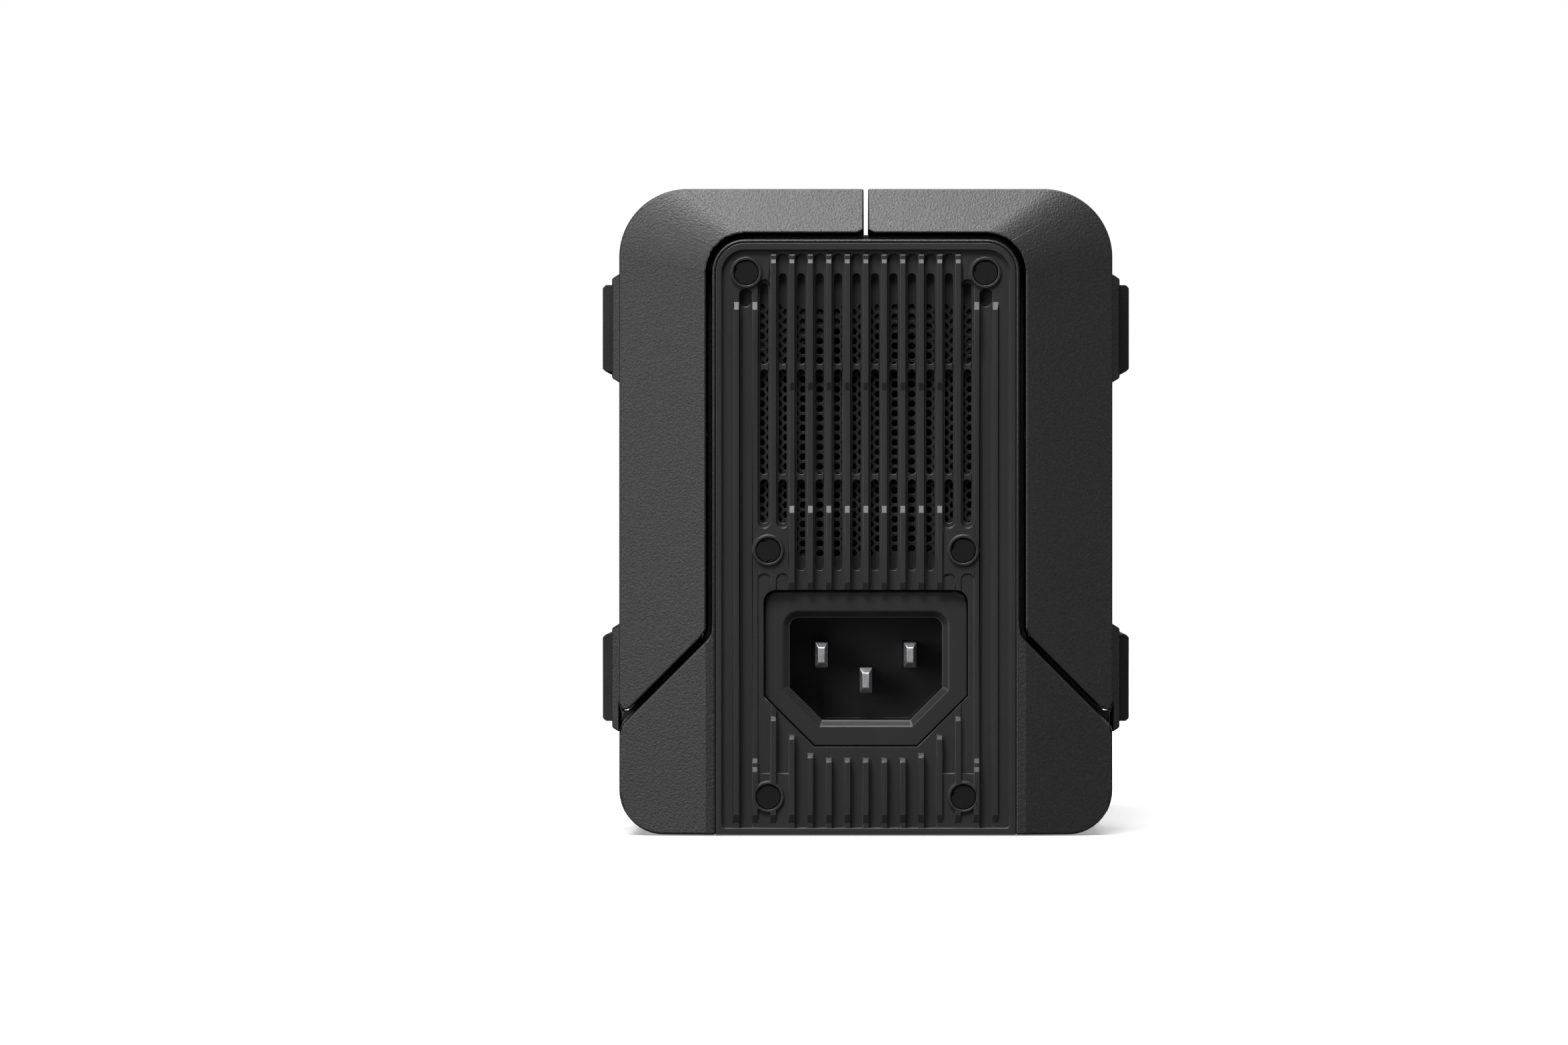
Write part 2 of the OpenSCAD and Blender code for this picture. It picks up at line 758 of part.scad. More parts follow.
module power_board() {
    color([0.12, 0.32, 0.2]) difference() {
        block([-33, board_y[0], board_top - 1.6], [33, board_y[1], board_top]);
        for (at = board_holes) translate([at[0], at[1], 0]) cylinder(r = 1.5, h = 20);
    }
}

module insulating_sheet() {
    color([0.85, 0.8, 0.6]) difference() {
        block([-32, board_y[0] + 1, wall + 0.05], [32, board_y[1] - 1, wall + 0.4]);
        for (at = board_holes) translate([at[0], at[1], 0]) cylinder(r = 3.4, h = 20);
    }
}

module power_board_screws() {
    color([0.6, 0.6, 0.62]) for (at = board_holes) translate([at[0], at[1], 0]) {
        translate([0, 0, board_top + 0.02]) cylinder(r = 2.5, h = 1.8);
        translate([0, 0, 2.5]) cylinder(r = thread_r - 0.02, h = board_top - 2.4);
    }
}

module bulk_capacitors() {
    color([0.1, 0.12, 0.3]) for (x = [-9.5, 9.5], y = [46, 64])
        translate([x, y, board_top + 0.05]) {
            cylinder(r = 8, h = 25);
            translate([0, 0, 25 - eps]) cylinder(r = 7.2, h = 0.5);
        }
}

transformer_at = [0, 92, board_top + 0.05];

module transformer_core() {
    color([0.22, 0.22, 0.24]) translate(transformer_at) difference() {
        block([-17, -13, 3], [17, 13, 27]);
        block([-12, -14, 7.5], [12, 14, 22.5]);
        block([-18, -14, 14.9], [18, 14, 15.1]);
    }
    color([0.22, 0.22, 0.24]) translate(transformer_at) block([-4, -6, 6.9], [4, 6, 23]);
}

module transformer_winding() {
    color([0.85, 0.7, 0.2]) translate(transformer_at) {
        difference() {
            block([-11.5, -15, 7.7], [11.5, 15, 22.3]);
            block([-4.2, -6.2, 6], [4.2, 6.2, 24]);
        }
        for (s = side) {
            block([-15, s * 15.5 - 2.5, 0], [15, s * 15.5 + 2.5, 2.9]);
            block([-8, s * 14.5 - 1, 2.8], [8, s * 14.5 + 1, 8]);
        }
    }
}

module filter_choke() {
    color([0.65, 0.35, 0.12]) translate([0, 122, board_top + 4.55]) {
        rotate_extrude() translate([7.5, 0]) circle(3.5, $fn = 32);
        block([-11, -11, -4.5], [11, 11, -3]);
    }
}

sink_z = 40;         // underside of the heat sink's plate
sink_half = 19.9;
sink_y = [34, 124];
transistor_y = [70, 90, 110];
tab_z = 17.5;        // height of the transistors' screws

// Inverted U with fins on its back, standing on the power board
module heat_sink() {
    color([0.72, 0.73, 0.75]) difference() {
        along_y(sink_y[0], sink_y[1]) {
            translate([-sink_half, sink_z]) square([2 * sink_half, 3]);
            for (s = side) translate([s * (sink_half - 0.75) - 0.75, board_top + 0.05])
                square([1.5, sink_z - board_top]);
            for (i = [-3:3]) translate([i * 5 - 0.8, sink_z + 2]) square([1.6, 32]);
        }
        for (s = side, y = transistor_y) on_side(s) rod_x(1.25, sink_half - 4, sink_half + cut, [y, tab_z]);
    }
}

module power_transistors() {
    color([0.14, 0.14, 0.14]) for (s = side, y = transistor_y) on_side(s) {
        difference() {
            block([sink_half + 0.05, y - 5, board_top + 3], [sink_half + 4.4, y + 5, tab_z + 3]);
            rod_x(1.5, sink_half, sink_half + 6, [y, tab_z]);
        }
        for (i = [-1:1]) block([sink_half + 2, y + i * 2.54 - 0.4, board_top + 0.05],
            [sink_half + 2.5, y + i * 2.54 + 0.4, board_top + 3.1]);
    }
}

module heat_sink_screws() {
    color([0.6, 0.6, 0.62]) for (s = side, y = transistor_y) on_side(s) {
        rod_x(2.4, sink_half + 4.42, sink_half + 6, [y, tab_z]);
        rod_x(1.2, sink_half - 2.5, sink_half + 4.5, [y, tab_z]);
    }
}

module mains_fuse() {
    color([0.85, 0.85, 0.8]) {
        rod_y(2.6, 38.5, 58.5, [24, board_top + 4]);
        for (y = [40, 54]) block([22, y, board_top + 0.05], [26, y + 3, board_top + 3]);
    }
}

// Wire from one point to another by way of a bend of radius bend: down to level z, along Y
module lead(x, from, to, r) {
    bend = 3;
    translate([x, from[0], from[1]]) rotate([-90, 0, 0]) cylinder(r = r, h = to[0] - bend - from[0]);
    translate([x, to[0] - bend, from[1] - bend]) rotate([0, -90, 0])
        rotate_extrude(angle = 90) translate([bend, 0]) circle(r, $fn = 20);
    translate([x, to[0], to[1]]) cylinder(r = r, h = from[1] - bend - to[1]);
}

module mains_leads() {
    color([0.25, 0.3, 0.55]) {
        for (s = side) lead(s * pin_x, [inlet_back_y + 7.1, pin_z], [36.5, board_top + 0.1], 1.1);
        lead(0, [inlet_back_y + 7.1, earth_z], [36.5, board_top + 0.1], 1.1);
    }
}

// ---------------------------------------------------------------- docks

blade_pitch = 4.6;

module dock_connectors() {
    color([0.09, 0.09, 0.09]) for (s = side) on_side(s) difference() {
        union() {
            block([half_core - wall - 4, socket_y - 15, socket_z - 7],
                [half_core - wall - 0.05, socket_y + 15, socket_z + 7]);
            block([half_core - wall - 1, socket_y - 12.8, socket_z - 4.8],
                [half_core + 0.5, socket_y + 12.8, socket_z + 4.8]);
        }
        for (i = [-2:2]) dock_blade(i, 0);
    }
}

module dock_blade(i, clear) {
    y = socket_y + i * blade_pitch;
    block([half_core - wall - 8, y - 0.5 - clear, socket_z - 3 - clear],
        [half_core + 7 + clear, y + 0.5 + clear, socket_z + 3 + clear]);
}

module dock_blades() {
    color([0.85, 0.68, 0.3]) for (s = side, i = [-2:2]) on_side(s) dock_blade(i, 0);
}

lead_x = half_core - wall - 6.5;
lead_y = [for (i = [-2, -1]) socket_y + i * blade_pitch];
terminal_top = board_top + 6.05;

module output_terminals() {
    color([0.15, 0.45, 0.2]) for (s = side) on_side(s) difference() {
        block([lead_x - 3, lead_y[0] - 5, board_top + 0.05], [lead_x + 3, lead_y[1] + 2.5, terminal_top]);
        for (y = lead_y) rod_x(1.4, lead_x - 4, lead_x - 1.8, [y, board_top + 2.5]);
    }
}

module dock_leads() {
    color([0.6, 0.1, 0.1]) for (s = side, y = lead_y)
        translate([s * lead_x, y, terminal_top + 0.02]) cylinder(r = 1.3, h = socket_z - 3.1 - terminal_top);
}

module dock_magnets() {
    color([0.7, 0.7, 0.72]) for (s = side, z = magnet_z, y = magnet_y)
        on_side(s) rod_x(magnet_r, half_core - 3.6, half_core - 0.65, [y, z]);
}

// ---------------------------------------------------------------- battery pack, drawn for the left side

module pack_outer_outline(t) {
    arch(half_w - t, body_h - t, pack_r - t);
}

// Everything to the left of -x and above z
module left_of(x, z = 0) {
    translate([-body_w, z]) square([body_w - x, 2 * body_h]);
}

// Rounded toe of the pack, where its side meets the sloping underside
toe_r = 1;
toe_x = half_w - toe_r;
toe_z = flare_sum + (dock_gap + toe_r) * sqrt(2) - toe_x;

module pack_toe() {
    chord = toe_r / sqrt(2);
    difference() {
        polygon([
            [-toe_x, toe_z], [-half_w - 1, toe_z], [-half_w - 1, toe_z - 4],
            [chord - toe_x, toe_z - 4], [chord - toe_x, toe_z - chord]
        ]);
        translate([-toe_x, toe_z]) circle(toe_r);
    }
}

module pack_outline() {
    difference() {
        intersection() {
            pack_outer_outline(0);
            left_of(middle_gap / 2);
        }
        core_outline(-dock_gap);
        translate([-body_w, -cut]) square([2 * body_w, pack_low + cut]);
        pack_toe();
        lip_chamfer();
    }
}

// Chamfer under the inner end of the lip
module lip_chamfer() {
    chamfer = [1.05, 0.5];
    lip_z = core_h + dock_gap;
    polygon([
        [-middle_gap / 2 - chamfer[0], lip_z], [-middle_gap / 2, lip_z + chamfer[1]],
        [1, lip_z + chamfer[1]], [1, lip_z - 1], [-middle_gap / 2 - chamfer[0], lip_z - 1]
    ]);
}

module pack_cavity() {
    intersection() {
        difference() {
            pack_outer_outline(pack_wall);
            core_outline(-dock_gap - pack_wall);
        }
        left_of(middle_gap / 2 + pack_wall, pocket_floor);
    }
}

// Inner cover, facing the housing
module pack_cover_outline(clear) {
    intersection() {
        difference() {
            core_outline(-dock_gap - pack_wall);
            core_outline(-dock_gap);
        }
        left_of(cover_edge[0] - clear, cover_edge[1] - clear);
    }
}

module foot_boss(y, z) {
    out = half_w + boss_proud;
    lean = 0.85;
    l = foot_l / 2 + 1;
    h = foot_h / 2 + 1;
    intersection() {
        translate([0, y, z]) rotate([90, 0, 0]) linear_extrude(60, center = true) polygon([
            [-out, -h], [-out, h], [-half_w, h + lean], [0.5 - half_w, h + lean],
            [0.5 - half_w, -h - lean], [-half_w, -h - lean]
        ]);
        translate([0, y, z]) linear_extrude(60, center = true) polygon([
            [-out, -l], [-out, l], [-half_w, l + lean], [0.5 - half_w, l + lean],
            [0.5 - half_w, -l - lean], [-half_w, -l - lean]
        ]);
    }
}

cover_screws = [for (y = [11, body_d - 11], z = [40, 84]) [y, z]];

module pack_shell() {
    color([0.27, 0.27, 0.28]) difference() {
        union() {
            difference() {
                along_y(0, body_d) pack_outline();
                both_ends() for (a = [0:7.5:90]) on_side(-1) bevel_cut(a);
                along_y(end_wall, body_d - end_wall) pack_cavity();
            }
            difference() {
                for (y = foot_y, z = foot_z) foot_boss(y, z);
                block([-half_w - 0.3, 0, 0], [0, body_d, toe_z]);
            }
            for (at = cover_screws) rod_x(2.5, -half_w + pack_wall - 0.3, -half_core - 2.7, at);
        }
        along_y(end_wall - 2, body_d - end_wall + 2) pack_cover_outline(0.05);
        for (at = cover_screws) rod_x(thread_r, -half_core - 11, -half_core, at);
        for (y = foot_y, z = foot_z) foot_pad(y, z, 0.05);
        translate([-button_x, button_y, body_h - 4]) cylinder(r = button_r + 0.2, h = 8);
        for (i = [0:3]) translate([-button_x, button_y - 10 - 3.2 * i, body_h - 4]) cylinder(r = 0.85, h = 8);
    }
}

module foot_pad(y, z, clear) {
    block([-half_w - boss_proud - foot_proud, y - foot_l / 2 - clear, z - foot_h / 2 - clear],
        [-half_w - boss_proud + 0.8 + clear, y + foot_l / 2 + clear, z + foot_h / 2 + clear]);
}

module pack_feet() {
    color([0.13, 0.13, 0.13]) for (y = foot_y, z = foot_z) difference() {
        foot_pad(y, z, 0);
        for (a = side) translate([-half_w - boss_proud - foot_proud, y, z + a * foot_h / 2])
            rotate([0, 45, 0]) cube([0.7, foot_l + 2, 0.7], center = true);
    }
}

module pack_cover() {
    color([0.2, 0.2, 0.2]) difference() {
        along_y(end_wall - 1.9, body_d - end_wall + 1.9) pack_cover_outline(0);
        for (at = cover_screws) {
            rod_x(2.3, -half_core - dock_gap - 1.1, -half_core, at);
            rod_x(1.35, -half_core - 5, -half_core, at);
        }
        for (y = guide_y) rod_x(guide_r + 0.2, -half_core - 6, -half_core, [y, guide_z]);
        block([-half_core - 8, socket_y - 14.1, socket_z - 6.1],
            [-half_core, socket_y + 14.1, socket_z + 6.1]);
    }
}

module pack_screws() {
    color([0.6, 0.6, 0.62]) for (at = cover_screws) {
        rod_x(2.2, -half_core - dock_gap - 1.08, -half_core - dock_gap - 0.1, at);
        rod_x(thread_r - 0.02, -half_core - 9, -half_core - dock_gap - 1, at);
    }
}

// Socket for the dock blades
module pack_socket() {
    face = -half_core - dock_gap;
    color([0.09, 0.09, 0.09]) difference() {
        union() {
            block([face - pack_wall - 0.1, socket_y - 14, socket_z - 6],
                [face - 0.1, socket_y + 14, socket_z + 6]);
            block([face - 9.6, socket_y - 15.5, socket_z - 7.5],
                [face - pack_wall - 0.05, socket_y + 15.5, socket_z + 7.5]);
        }
        mirror([1, 0, 0]) for (i = [-2:2]) dock_blade(i, 0.25);
    }
}

module pack_cells() {
    layer = 4.6;
    length = (cells_y[1] - cells_y[0]) / 2;
    color([0.62, 0.64, 0.68]) for (i = [0, 1], n = [0, 1]) {
        x = pack_wall - half_w + 0.35 + n * (layer + 0.1);
        y = cells_y[0] + i * length + 0.3;
        block([x, y, cells_z[0]], [x + layer, y + length - 0.6, cells_z[1]]);
    }
}

// Nickel strips from the cells, and from the socket, up to the pack's board
module pack_links() {
    link_top = board_z - 0.05;
    color([0.8, 0.8, 0.78]) {
        for (i = [0, 1], n = [0, 1]) {
            y = cells_y[0] + 12 + i * (cells_y[1] - cells_y[0]) / 2 + n * 14;
            block([-32.6, y, cells_z[1] + 0.05], [-32, y + 8, link_top]);
        }
        for (y = [socket_y - 12, socket_y + 4])
            block([-32.6, y, socket_z + 7.55], [-32, y + 8, link_top]);
    }
}

module pack_board() {
    color([0.1, 0.3, 0.18]) {
        block([-33, 24, board_z], [-4, body_d - 14, board_z + 1.2]);
        for (y = [40, 58, 76]) block([-16, y, board_z + 1.15], [-10, y + 7, board_z + 2.6]);
        translate([-button_x, button_y, board_z + 1.15]) cylinder(r = 2.2, h = 0.3);
    }
}

module pack_keepers() {
    cover_back = -half_core - dock_gap - pack_wall;
    color([0.6, 0.6, 0.62]) for (y = magnet_y, z = magnet_z)
        rod_x(magnet_r - 0.3, cover_back - 0.6, cover_back - 0.02, [y, z]);
}

module pack_windows() {
    color([0.85, 0.9, 0.88]) {
        for (i = [0:3]) translate([-button_x, button_y - 10 - 3.2 * i, body_h - pack_wall - 0.05])
            cylinder(r = 0.8, h = pack_wall + 0.05);
        block([-button_x - 1.2, button_y - 21, body_h - pack_wall - 0.9],
            [-button_x + 1.2, button_y - 8.6, body_h - pack_wall - 0.02]);
    }
}

module pack_button() {
    color([0.1, 0.1, 0.1]) translate([-button_x, button_y, 0]) {
        translate([0, 0, body_h - pack_wall - 0.5]) cylinder(r = button_r, h = pack_wall + 0.4);
        translate([0, 0, body_h - pack_wall - 0.7]) cylinder(r = button_r + 0.9, h = 0.6);
    }
}

// ---------------------------------------------------------------- nodes

module on_right() {
    mirror([1, 0, 0]) children();
}

placed() main_housing();
placed() rear_panel();
placed() vent_sheet();
placed() rear_screws();
placed() rear_screw_plugs();
placed() fan_gasket();
placed() fan_frame();
placed() fan_nuts();
placed() fan_rotor();
placed() inlet_body();
placed() inlet_pins();
placed() front_panel();
placed() front_screws();
placed() front_screw_plugs();
placed() status_windows();
placed() mode_button();
placed() control_board();
placed() status_leds();
placed() mode_switch();
placed() power_board();
placed() insulating_sheet();
placed() power_board_screws();
placed() bulk_capacitors();
placed() transformer_core();
placed() transformer_winding();
placed() filter_choke();
placed() power_transistors();
placed() heat_sink();
placed() heat_sink_screws();
placed() mains_fuse();
placed() mains_leads();
placed() output_terminals();
placed() control_board_screws();
placed() dock_connectors();
placed() dock_blades();
placed() dock_leads();
placed() dock_magnets();
placed() base_pads();
placed() pack_shell();  // left_pack_shell
placed() pack_cover();  // left_pack_cover
placed() pack_feet();  // left_pack_feet
placed() pack_cells();  // left_pack_cells
placed() pack_links();  // left_pack_links
placed() pack_board();  // left_pack_board
placed() pack_socket();  // left_pack_socket
placed() pack_keepers();  // left_pack_keepers
placed() pack_screws();  // left_pack_screws
placed() pack_windows();  // left_pack_windows
placed() pack_button();  // left_pack_button
placed() on_right() pack_shell();  // right_pack_shell
placed() on_right() pack_cover();  // right_pack_cover
placed() on_right() pack_feet();  // right_pack_feet
placed() on_right() pack_cells();  // right_pack_cells
placed() on_right() pack_links();  // right_pack_links
placed() on_right() pack_board();  // right_pack_board
placed() on_right() pack_socket();  // right_pack_socket
placed() on_right() pack_keepers();  // right_pack_keepers
placed() on_right() pack_screws();  // right_pack_screws
placed() on_right() pack_windows();  // right_pack_windows
placed() on_right() pack_button();  // right_pack_button
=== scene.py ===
"""Looks of the two-pack battery charging station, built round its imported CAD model.

Every CAD node becomes one piece with the same name plus "_look": a copy of the node's mesh with its facets
merged, its edges rounded and a procedural material. The copies keep the CAD's size and place.
"""

import json
import math

import bmesh
import bpy
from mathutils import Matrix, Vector


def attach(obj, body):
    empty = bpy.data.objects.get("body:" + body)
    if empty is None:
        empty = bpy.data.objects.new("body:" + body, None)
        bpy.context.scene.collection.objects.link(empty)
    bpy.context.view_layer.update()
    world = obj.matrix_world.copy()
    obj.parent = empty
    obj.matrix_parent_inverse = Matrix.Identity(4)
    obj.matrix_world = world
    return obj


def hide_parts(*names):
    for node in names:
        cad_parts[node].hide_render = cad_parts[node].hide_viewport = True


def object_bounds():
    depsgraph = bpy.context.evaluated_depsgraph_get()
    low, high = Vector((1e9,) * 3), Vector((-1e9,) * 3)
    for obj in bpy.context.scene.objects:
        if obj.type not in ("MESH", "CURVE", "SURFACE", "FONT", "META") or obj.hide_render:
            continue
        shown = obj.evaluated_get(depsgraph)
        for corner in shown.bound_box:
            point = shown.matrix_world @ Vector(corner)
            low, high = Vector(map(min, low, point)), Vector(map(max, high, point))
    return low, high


MM = 0.001

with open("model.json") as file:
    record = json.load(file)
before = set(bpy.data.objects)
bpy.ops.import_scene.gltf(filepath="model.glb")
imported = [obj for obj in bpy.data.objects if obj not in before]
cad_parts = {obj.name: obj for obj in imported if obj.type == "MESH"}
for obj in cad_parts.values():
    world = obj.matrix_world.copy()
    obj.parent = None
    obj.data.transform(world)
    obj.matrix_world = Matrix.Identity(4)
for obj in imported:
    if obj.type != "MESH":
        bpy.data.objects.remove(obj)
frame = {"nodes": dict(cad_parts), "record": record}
cad_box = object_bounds()
record = frame["record"]
SLOT_OF = {part["node"]: part["material_slot"] for part in record["subparts"]}
BODY_OF = {node: body for body, names in record["behaviour"]["bodies"].items() for node in names}
FINISH = {entry["slot"]: entry for entry in record["materials"]}


# ---------------------------------------------------------------- materials

class Shader:
    """A node material under construction: a Principled shader fed by textures in object space."""

    def __init__(self, name, metallic=0.0, specular=0.5, coat=0.0):
        self.material = bpy.data.materials.new(name)
        self.material.use_nodes = True
        self.tree = self.material.node_tree
        self.tree.nodes.clear()
        self.output = self.tree.nodes.new("ShaderNodeOutputMaterial")
        self.bsdf = self.tree.nodes.new("ShaderNodeBsdfPrincipled")
        self.tree.links.new(self.bsdf.outputs["BSDF"], self.output.inputs["Surface"])
        self.bsdf.inputs["Metallic"].default_value = metallic
        self.bsdf.inputs["Specular IOR Level"].default_value = specular
        self.bsdf.inputs["Coat Weight"].default_value = coat
        self.place = self.tree.nodes.new("ShaderNodeTexCoord")

    def link(self, source, target):
        self.tree.links.new(source, target)

    def mapped(self, stretch=(1, 1, 1)):
        """Object coordinates, multiplied along each axis."""
        node = self.tree.nodes.new("ShaderNodeMapping")
        node.inputs["Scale"].default_value = stretch
        self.link(self.place.outputs["Object"], node.inputs["Vector"])
        return node.outputs["Vector"]

    def noise(self, size, detail=2.0, stretch=(1, 1, 1), roughness=0.5):
        """Noise whose blotches are about size metres across."""
        node = self.tree.nodes.new("ShaderNodeTexNoise")
        node.inputs["Scale"].default_value = 1 / size
        node.inputs["Detail"].default_value = detail
        node.inputs["Roughness"].default_value = roughness
        self.link(self.mapped(stretch), node.inputs["Vector"])
        return node.outputs["Fac"]

    def cells(self, size, stretch=(1, 1, 1), feature="F1"):
        """Distance to the middles or to the edges of cells about size metres across."""
        node = self.tree.nodes.new("ShaderNodeTexVoronoi")
        node.feature = feature
        node.inputs["Scale"].default_value = 1 / size
        self.link(self.mapped(stretch), node.inputs["Vector"])
        return node.outputs["Distance"]

    def math(self, operation, a, b):
        node = self.tree.nodes.new("ShaderNodeMath")
        node.operation = operation
        for socket, value in zip(node.inputs, (a, b)):
            if isinstance(value, (int, float)):
                socket.default_value = value
            else:
                self.link(value, socket)
        return node.outputs["Value"]

    def spread(self, value, low, high, start=0.0, end=1.0):
        """Maps value from start..end to low..high."""
        node = self.tree.nodes.new("ShaderNodeMapRange")
        node.inputs["From Min"].default_value = start
        node.inputs["From Max"].default_value = end
        node.inputs["To Min"].default_value = low
        node.inputs["To Max"].default_value = high
        self.link(value, node.inputs["Value"])
        return node.outputs["Result"]

    def ramp(self, value, stops):
        """Colour that value picks from stops, a list of (position, colour)."""
        node = self.tree.nodes.new("ShaderNodeValToRGB")
        elements = node.color_ramp.elements
        while len(elements) < len(stops):
            elements.new(0.5)
        for element, (position, colour) in zip(elements, stops):
            element.position = position
            element.color = (*colour[:3], 1)
        self.link(value, node.inputs["Fac"])
        return node.outputs["Color"]

    def mix(self, factor, a, b):
        """Colour a where factor is 0, and b where it is 1."""
        node = self.tree.nodes.new("ShaderNodeMix")
        node.data_type = "RGBA"
        sockets = [s for s in node.inputs if s.type == "RGBA"]
        for socket, value in zip(sockets, (a, b)):
            if isinstance(value, (tuple, list)):
                socket.default_value = (*value[:3], 1)
            else:
                self.link(value, socket)
        self.link(factor, node.inputs["Factor"])
        return [s for s in node.outputs if s.type == "RGBA"][0]

    def colour(self, value):
        self.link(value, self.bsdf.inputs["Base Color"])

    def roughness(self, value):
        if isinstance(value, (int, float)):
            self.bsdf.inputs["Roughness"].default_value = value
        else:
            self.link(value, self.bsdf.inputs["Roughness"])

    def bump(self, height, depth, after=None):
        """Adds relief depth metres deep. Returns the normal, so that a second relief can go over it."""
        node = self.tree.nodes.new("ShaderNodeBump")
        node.inputs["Distance"].default_value = depth
        node.inputs["Strength"].default_value = 1.0
        self.link(height, node.inputs["Height"])
        if after is not None:
            self.link(after, node.inputs["Normal"])
        self.link(node.outputs["Normal"], self.bsdf.inputs["Normal"])
        return node.outputs["Normal"]

    def edges(self, low, high):
        """0 on flats and 1 on sharp outer edges."""
        node = self.tree.nodes.new("ShaderNodeNewGeometry")
        return self.spread(node.outputs["Pointiness"], 0, 1, low, high)


def shade(colour, factor):
    """The colour made lighter or darker."""
    return tuple(min(1.0, c * factor) for c in colour[:3])


def grained_shell(name, colour):
    """Moulded housing plastic with a fine spark-eroded grain, and its sharp outer edges painted lighter as a
    painted highlight.
    """
    s = Shader(name, specular=0.62)
    grain = s.noise(0.32 * MM, detail=2.0, roughness=0.6)
    patch = s.noise(14 * MM, detail=3.0)
    speck = s.ramp(grain, [(0.3, shade(colour, 0.6)), (0.5, colour), (0.7, shade(colour, 1.6))])
    # Painted highlight: the sharp outer edges are painted up to 2.2 times lighter, standing in for the light
    # that catches them.
    grain_with_edge_highlight = s.mix(s.spread(s.edges(0.52, 0.62), 0, 0.35), speck, shade(colour, 2.2))
    s.colour(grain_with_edge_highlight)
    s.roughness(s.math("ADD", s.spread(grain, 0.5, 0.32), s.spread(patch, -0.02, 0.03)))
    s.bump(grain, 0.065 * MM)
    return s.material


def satin_plastic(name, colour, rough, depth=0.006, size=0.25, specular=0.5):
    """Smooth moulded plastic with a faint texture, flow marks and a painted highlight: its sharp outer edges
    painted lighter.
    """
    s = Shader(name, specular=specular)
    texture = s.noise(size * MM, detail=1.5)
    flow = s.noise(9 * MM, detail=3.0, stretch=(1, 1, 0.35))
    base = s.mix(s.spread(flow, 0, 1, 0.3, 0.7), shade(colour, 0.9), shade(colour, 1.12))
    # Painted highlight: the sharp outer edges are painted up to 1.9 times lighter.
    s.colour(s.mix(s.spread(s.edges(0.52, 0.64), 0, 0.3), base, shade(colour, 1.9)))
    s.roughness(s.math("ADD", s.spread(texture, rough - 0.04, rough + 0.04), s.spread(flow, -0.03, 0.03)))
    s.bump(texture, depth * MM)
    return s.material


def rubber(name, colour):
    """Matte rubber with a powdery bloom and a pebbled skin."""
    s = Shader(name, specular=0.35)
    pebble = s.cells(0.5 * MM)
    bloom = s.noise(6 * MM, detail=4.0)
    s.colour(s.mix(s.spread(bloom, 0, 1, 0.35, 0.75), colour, shade(colour, 1.7)))
    s.roughness(s.spread(bloom, 0.66, 0.85))
    s.bump(pebble, 0.02 * MM)
    return s.material


def brushed(name, colour, rough, stretch=(1, 0.04, 1), size=0.12, depth=0.004):
    """Metal with fine lines along one axis and a few smudges."""
    s = Shader(name, metallic=1.0)
    lines = s.noise(size * MM, detail=3.0, stretch=stretch)
    smudge = s.noise(5 * MM, detail=4.0)
    tone = s.math("ADD", s.math("MULTIPLY", lines, 0.5), s.math("MULTIPLY", smudge, 0.5))
    s.colour(s.ramp(tone, [(0.3, shade(colour, 0.78)), (0.55, colour), (0.75, shade(colour, 1.12))]))
    s.roughness(s.math("ADD", s.spread(lines, rough - 0.05, rough + 0.1), s.spread(smudge, -0.04, 0.06)))
    s.bump(lines, depth * MM)
    return s.material


def circuit_board(name, colour):
    """Solder mask with buried tracks and tinned pads."""
    s = Shader(name, coat=0.3)
    tracks = s.cells(3.2 * MM, stretch=(1, 0.45, 1), feature="DISTANCE_TO_EDGE")
    track = s.spread(tracks, 1, 0, 0.03, 0.06)
    pads = s.cells(2.54 * MM)
    pad = s.spread(pads, 1, 0, 0.16, 0.2)
    weave = s.noise(0.4 * MM, detail=1.0)
    mask = s.mix(track, colour, shade(colour, 1.8))
    s.colour(s.mix(pad, mask, (0.62, 0.6, 0.55)))
    s.roughness(s.spread(weave, 0.28, 0.42))
    s.bump(track, 0.02 * MM, after=s.bump(weave, 0.006 * MM))
    return s.material


WAVE_CYCLE = 2 * math.pi / 20   # length of one cycle of a wave texture of scale 1


def wrapped(name, colour, lap=18.85):
    """Tape or sleeve with a soft band each lap millimetres of height, and small creases."""
    s = Shader(name)
    creases = s.noise(2.2 * MM, detail=4.0, stretch=(0.4, 0.4, 2))
    wave = s.tree.nodes.new("ShaderNodeTexWave")
    wave.bands_direction = "Z"
    wave.inputs["Scale"].default_value = WAVE_CYCLE / (lap * MM)
    wave.inputs["Distortion"].default_value = 0.4
    s.link(s.mapped(), wave.inputs["Vector"])
    laps = wave.outputs["Fac"]
    tone = s.math("ADD", s.math("MULTIPLY", laps, 0.4), s.math("MULTIPLY", creases, 0.6))
    s.colour(s.ramp(tone, [(0.2, shade(colour, 0.7)), (0.5, colour), (0.85, shade(colour, 1.25))]))
    s.roughness(s.spread(creases, 0.22, 0.4))
    s.bump(tone, 0.03 * MM)
    return s.material


def speckled(name, colour, rough, size=0.5, depth=0.01):
    """Pressed powder, ceramic or moulded epoxy."""
    s = Shader(name, specular=0.45)
    powder = s.noise(size * MM, detail=4.0, roughness=0.7)
    chips = s.noise(3 * MM, detail=2.0)
    s.colour(s.ramp(powder, [(0.3, shade(colour, 0.7)), (0.5, colour), (0.7, shade(colour, 1.35))]))
    s.roughness(s.math("ADD", s.spread(powder, rough - 0.05, rough + 0.05), s.spread(chips, -0.04, 0.04)))
    s.bump(powder, depth * MM)
    return s.material


